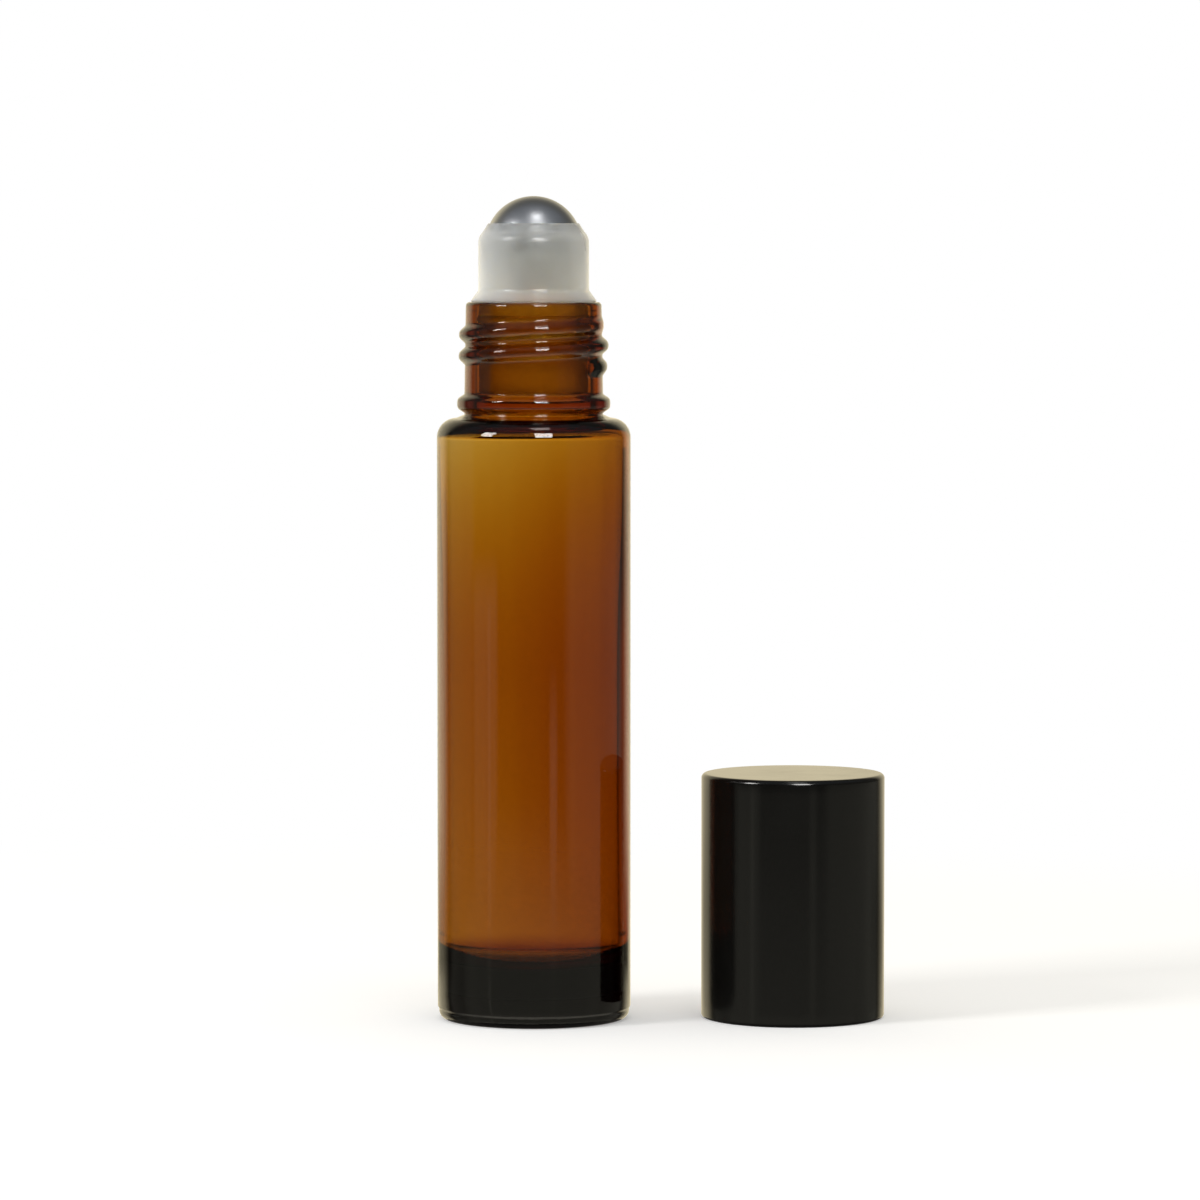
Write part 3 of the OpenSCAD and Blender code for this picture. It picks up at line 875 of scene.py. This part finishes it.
class BOTTLE_OT_cap(bpy.types.Operator):
    """Mould the cap: its smooth shell, its threaded core with ribs, and its seal pad"""
    bl_idname = "bottle.cap"
    bl_label = "Screw Cap"

    def execute(self, context):
        sizes = context.scene.bottle_cap
        centre = (CAP_CENTRE.x, CAP_CENTRE.y)
        self.shell(sizes, centre)
        self.core(sizes, centre)
        self.pad(sizes, centre, context.scene.bottle_ball.radius)
        return {"FINISHED"}

    def core_sizes(self, sizes):
        """Outer radius of the core, height of its top and height of its ceiling."""
        outer = sizes.radius - sizes.shell_wall - sizes.core_fit
        top = sizes.height - sizes.shell_top
        return outer, top, top - sizes.core_top

    def shell(self, sizes, centre):
        """The smooth outer shell."""
        inner = sizes.radius - sizes.shell_wall
        under = sizes.height - sizes.shell_top
        edge = 0.15 * MM
        top = sizes.top_radius
        outline = (
            [(0, sizes.height), (sizes.radius / 2, sizes.height)]
            + arc((sizes.radius - top, sizes.height - top), top, 90, 0, 16)
            + arc((sizes.radius - sizes.rim_radius, sizes.rim_radius), sizes.rim_radius, 0, -90, 12)
            + arc((inner + edge, edge), edge, -90, -180, 6)
            + [(inner, under), (0, under)])
        piece = revolved("cap_shell_smooth", refined(outline, lambda z: 1 * MM), 256, centre)
        smooth(piece)
        dressed(piece, black_shell(sizes), "cap", "black_shell", "cap_shell")

    def core(self, sizes, centre):
        """The threaded core and the ribs that hold it in the shell."""
        outer, top, under = self.core_sizes(sizes)
        inner = outer - sizes.core_wall
        guide = sizes.guide_radius
        step = sizes.guide_height
        edge = 0.12 * MM
        fine_below = step - 3 * MM
        outline = (
            [(0, top), (guide + sizes.core_wall, top), (guide + sizes.core_wall, step + sizes.core_wall)]
            + [(outer, step + sizes.core_wall)]
            + arc((outer - edge, sizes.core_setback + edge), edge, 0, -90, 5)
            + arc((inner + edge, sizes.core_setback + edge), edge, -90, -180, 5)
            + [(inner, step), (guide + edge, step), (guide, step + edge), (guide, under), (0, under)])
        outline = refined(outline, lambda z: 0.1 * MM if z < fine_below else 0.6 * MM)
        piece = revolved("cap_core_threaded", outline, 192, centre)
        material = black_core(sizes)
        shaped(piece, thread_tree(), {
            "Centre X": centre[0], "Centre Y": centre[1], "First Height": sizes.thread_height,
            "Pitch": sizes.pitch, "Ridge": -sizes.thread_in, "Half Height": sizes.thread_half,
            "Start": sizes.thread_start, "Turns": sizes.thread_turns, "Fade": math.radians(40), "Drop": 0.0,
            "Inner Radius": inner - 0.1 * MM, "Outer Radius": inner + 0.1 * MM,
            "Low": sizes.core_setback + 0.2 * MM, "High": step - 1 * MM, "Material": material})
        smooth(piece, 40)
        dressed(piece, material, "cap", "black_core", "cap_core")
        hold = sizes.core_wall / 2
        rib_low = step + sizes.core_wall - hold
        depth = outer - guide - sizes.core_wall + hold
        ribs = placed("cap_core_ribs", bpy.data.meshes.new("cap_core_ribs"))
        shaped(ribs, rib_tree(), {
            "Rib Count": sizes.rib_count, "Centre X": centre[0], "Centre Y": centre[1],
            "Circle Radius": outer - depth / 2, "Depth": depth, "Width": sizes.rib_width,
            "Height": top - rib_low, "Middle Height": (top + rib_low) / 2, "Material": material})
        dressed(ribs, material, "cap", "black_core")

    def pad(self, sizes, centre, ball_radius):
        """The foam pad that presses on the ball, with the dish that the ball leaves."""
        _, _, under = self.core_sizes(sizes)
        radius = sizes.guide_radius - sizes.pad_fit
        low = under - sizes.pad - sizes.dish
        reach = math.degrees(math.acos(1 - sizes.dish / ball_radius))
        edge = 0.2 * MM
        rest = low + sizes.dish - ball_radius
        outline = (
            [(0, under), (radius - edge, under)]
            + arc((radius - edge, under - edge), edge, 90, 0, 5)
            + arc((radius - edge, low + edge), edge, 0, -90, 5)
            + arc((0, rest), ball_radius, 90 - reach, 90, 10))
        piece = revolved("seal_pad_foam", refined(outline, lambda z: 0.6 * MM), 128, centre)
        smooth(piece, 40)
        dressed(piece, liner_foam(sizes), "cap", "liner_foam", "seal_pad")


def light_path(nodes):
    """Tells apart scattered, mirrored, camera and refracted rays, and gives a ray's length."""
    node = nodes.add("ShaderNodeLightPath").socket.node
    facts = {output.name: Value(nodes, output) for output in node.outputs}
    scattered = facts["Diffuse Depth"] > 0.5
    mirrored = (facts["Glossy Depth"] > 0.5) * (1.0 - scattered)
    return scattered, mirrored, facts["Is Camera Ray"], facts["Transmission Depth"] > 0.5, facts["Ray Length"]


def floor_material(settings):
    """The pale floor: it keeps the shadow and fades out, and gloss sees the studio in its place, but right by
    the bottle gloss sees a painted contact shade.
    """
    material, nodes, place = new_material("pale_floor")
    x, y, _ = nodes.axes(place)
    reach = across(x, y)
    grain = nodes.noise(place, 900.0, 3.0)
    lit = nodes.add("ShaderNodeBsdfDiffuse", None, {
        "Color": nodes.mix(grain, settings.floor, shade(settings.floor, 0.985))})
    _, mirrored, camera, _, reach_of_ray = light_path(nodes)
    glow = nodes.glow((1.0, 0.998, 0.995, 1), settings.glow * camera)
    both = nodes.add("ShaderNodeAddShader", None, {0: lit, 1: glow})
    white = nodes.glow(nodes.mix(camera, settings.low, (1, 1, 1)))
    edge = nodes.step(reach, settings.floor_fade, settings.floor_radius * 0.95)
    shown = nodes.between(edge, both, white)
    clear = nodes.add("ShaderNodeBsdfTransparent")
    touching = 0.8 * MM
    far = mirrored * (reach_of_ray > touching)
    # Mirrored rays that meet the floor within touching distance see this flat dark glow, a painted contact
    # shade under the heel, in place of the lit floor.
    dark = nodes.glow((0.1, 0.095, 0.085, 1))
    close = nodes.between(mirrored, shown, dark)
    floor = nodes.between(far, close, clear)
    return finish_material(material, nodes, Surface=floor)


def surroundings(settings):
    """A white backdrop for the camera and through glass, a dim studio for gloss, and soft light."""
    world = bpy.data.worlds.new("soft_studio")
    world.use_nodes = True
    nodes = Nodes(world.node_tree)
    x, y, z = nodes.axes(nodes.add("ShaderNodeTexCoord"))
    in_degrees = 360.0 / TURN
    azimuth = x.maths("ARCTAN2", y) * in_degrees
    height = z.maths("ARCSINE") * in_degrees

    def band(low, high, soft):
        """1 between two azimuths, from behind the bottle towards its right, and 0 outside."""
        return nodes.step(azimuth, low - soft, low + soft) * nodes.step(azimuth, high + soft, high - soft)

    # Grey levels of what gloss shows in front and beside. The brightest one counts.
    sides = [
        0.17 * band(-104.0, -60.0, 6.0),
        0.28 * band(-136.0, -104.0, 4.0) * nodes.step(height, -2.9, -3.6),
        0.44 * band(-129.0, -123.0, 2.0) * nodes.step(height, -3.1, -3.7),
        (0.09 + 0.16 * nodes.step(height, -2.2, -3.6)) * band(50.0, 140.0, 8.0),
        0.35 * band(152.0, 161.0, 3.0) * nodes.step(height, -3.8, -5.2),
        0.31 * nodes.step(height, -5.0, -7.2) * nodes.step(y, 0.4, -0.2)]
    level = 0.02
    for side in sides:
        level = side.maths("MAXIMUM", level)
    room = nodes.scaled(settings.room, nodes.joined(level, level, level))
    gloss = nodes.mix(nodes.step(height, 12.0, 45.0), room, settings.overhead)
    gloss = nodes.mix(nodes.step(y, 0.22, 0.42) * nodes.step(height, 12.0, 30.0), gloss, settings.dark)
    behind = y - 0.04 - 0.14 * nodes.step(x, 0.0, 0.3)
    back = nodes.step(behind, 0.45, 0.72) * nodes.step(height, 50.0, 10.0)
    gloss = nodes.mix(back, gloss, settings.backdrop)
    gap = nodes.step(height, -5.2, -6.8) * nodes.step(height, -7.25, -6.9)
    gap = gap * (0.55 * band(-66.0, -20.0, 6.0) + 0.8 * band(26.0, 66.0, 6.0))
    gloss = nodes.mix(gap, gloss, NEAR_BLACK)
    scattered, mirrored, camera, refracted, _ = light_path(nodes)
    gloss = nodes.mix(0.4 * refracted * nodes.step(x, 0.0, -0.3), gloss, NEAR_BLACK)
    gloss = nodes.mix(nodes.step(height, -25.0, -60.0), gloss, settings.table)
    seen = nodes.mix(nodes.step(height, -2.0, -4.5) * (1.0 - camera), (1, 1, 1), settings.low)
    seen = nodes.mix(nodes.step(height, 28.0, 55.0) * (1.0 - camera), seen, settings.above)
    light = nodes.mix(mirrored, seen, gloss)
    soft = nodes.mix(nodes.step(y, -0.2, 0.9), settings.ambient, settings.ambient_back)
    soft = nodes.mix(0.7 * nodes.step(x, 0.1, 0.9), soft, settings.ambient_back)
    light = nodes.mix(scattered, light, soft)
    shine = nodes.add("ShaderNodeBackground", None, {"Color": light, "Strength": 1.0})
    nodes.add("ShaderNodeOutputWorld", None, {"Surface": shine})
    world.cycles.sampling_method = "NONE"
    return world


def soft_lamp(name, azimuth, elevation, size, radiance, scatters):
    """A soft box that looks at the bottle. Azimuth 0 is the camera's side, and 90 its right.

    The size is its width and height. One that doesn't scatter only shows in gloss."""
    light = bpy.data.lights.new(name, "AREA")
    light.shape = "RECTANGLE"
    light.size, light.size_y = size
    light.energy = radiance * math.pi * size[0] * size[1]
    light.color = LAMP_TINT
    lamp = placed(name, light)
    a, e = math.radians(azimuth), math.radians(elevation)
    aim = Vector((0.01, 0, 0.045))
    way = Vector((math.sin(a) * math.cos(e), -math.cos(a) * math.cos(e), math.sin(e)))
    lamp.location = aim + LAMP_DISTANCE * way
    lamp.rotation_euler = way.to_track_quat("Z", "Y").to_euler()
    lamp.visible_transmission = False
    lamp.visible_diffuse = scatters


class BOTTLE_OT_stage(bpy.types.Operator):
    """Set the pale floor, the soft studio light and the camera"""
    bl_idname = "bottle.stage"
    bl_label = "Stage"

    def execute(self, context):
        settings = context.scene.bottle_stage
        shape = bmesh.new()
        bmesh.ops.create_circle(shape, cap_ends=True, segments=96, radius=settings.floor_radius)
        mesh = bpy.data.meshes.new("pale_floor")
        shape.to_mesh(mesh)
        shape.free()
        floor = placed("pale_floor", mesh)
        mesh.materials.append(floor_material(settings))
        context.scene.world = surroundings(settings)
        for lamp in LAMPS:
            soft_lamp(*lamp)
        camera = placed("camera", bpy.data.cameras.new("camera"))
        camera.data.sensor_width = 36
        camera.data.lens = settings.focal_length
        camera.data.clip_start = 10 * MM
        camera.location = settings.camera_place
        camera.rotation_euler = (math.pi / 2 - settings.camera_tilt, 0, 0)
        context.scene.camera = camera
        context.scene.view_settings.view_transform = "Standard"
        return {"FINISHED"}


OPERATORS = [BOTTLE_OT_glass, BOTTLE_OT_housing, BOTTLE_OT_ball, BOTTLE_OT_cap, BOTTLE_OT_stage]


class BOTTLE_PT_panel(bpy.types.Panel):
    """Lists the pieces of the roll-on bottle"""
    bl_idname = "BOTTLE_PT_panel"
    bl_label = "Roll-on Bottle"
    bl_space_type = "VIEW_3D"
    bl_region_type = "UI"
    bl_category = "Bottle"

    def draw(self, context):
        for operator in OPERATORS:
            self.layout.operator(operator.bl_idname)
        for name in SETTINGS:
            box = self.layout.box()
            group = getattr(context.scene, name)
            for key in group.bl_rna.properties.keys():
                if key not in ("name", "rna_type"):
                    box.prop(group, key)


CLASSES = [*SETTINGS.values(), *OPERATORS, BOTTLE_PT_panel]


def register():
    """Registers the classes, and gives the scene its settings."""
    for item in CLASSES:
        bpy.utils.register_class(item)
    for name, group in SETTINGS.items():
        setattr(bpy.types.Scene, name, PointerProperty(type=group))


def unregister():
    """Takes the settings and the classes away again."""
    for name in SETTINGS:
        delattr(bpy.types.Scene, name)
    for item in reversed(CLASSES):
        bpy.utils.unregister_class(item)


def main():
    """Builds every piece and the stage."""
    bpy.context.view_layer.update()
    register()
    bpy.ops.bottle.stage()
    bpy.ops.bottle.glass()
    bpy.ops.bottle.housing()
    bpy.ops.bottle.ball()
    bpy.ops.bottle.cap()


if __name__ == "__main__":
    main()
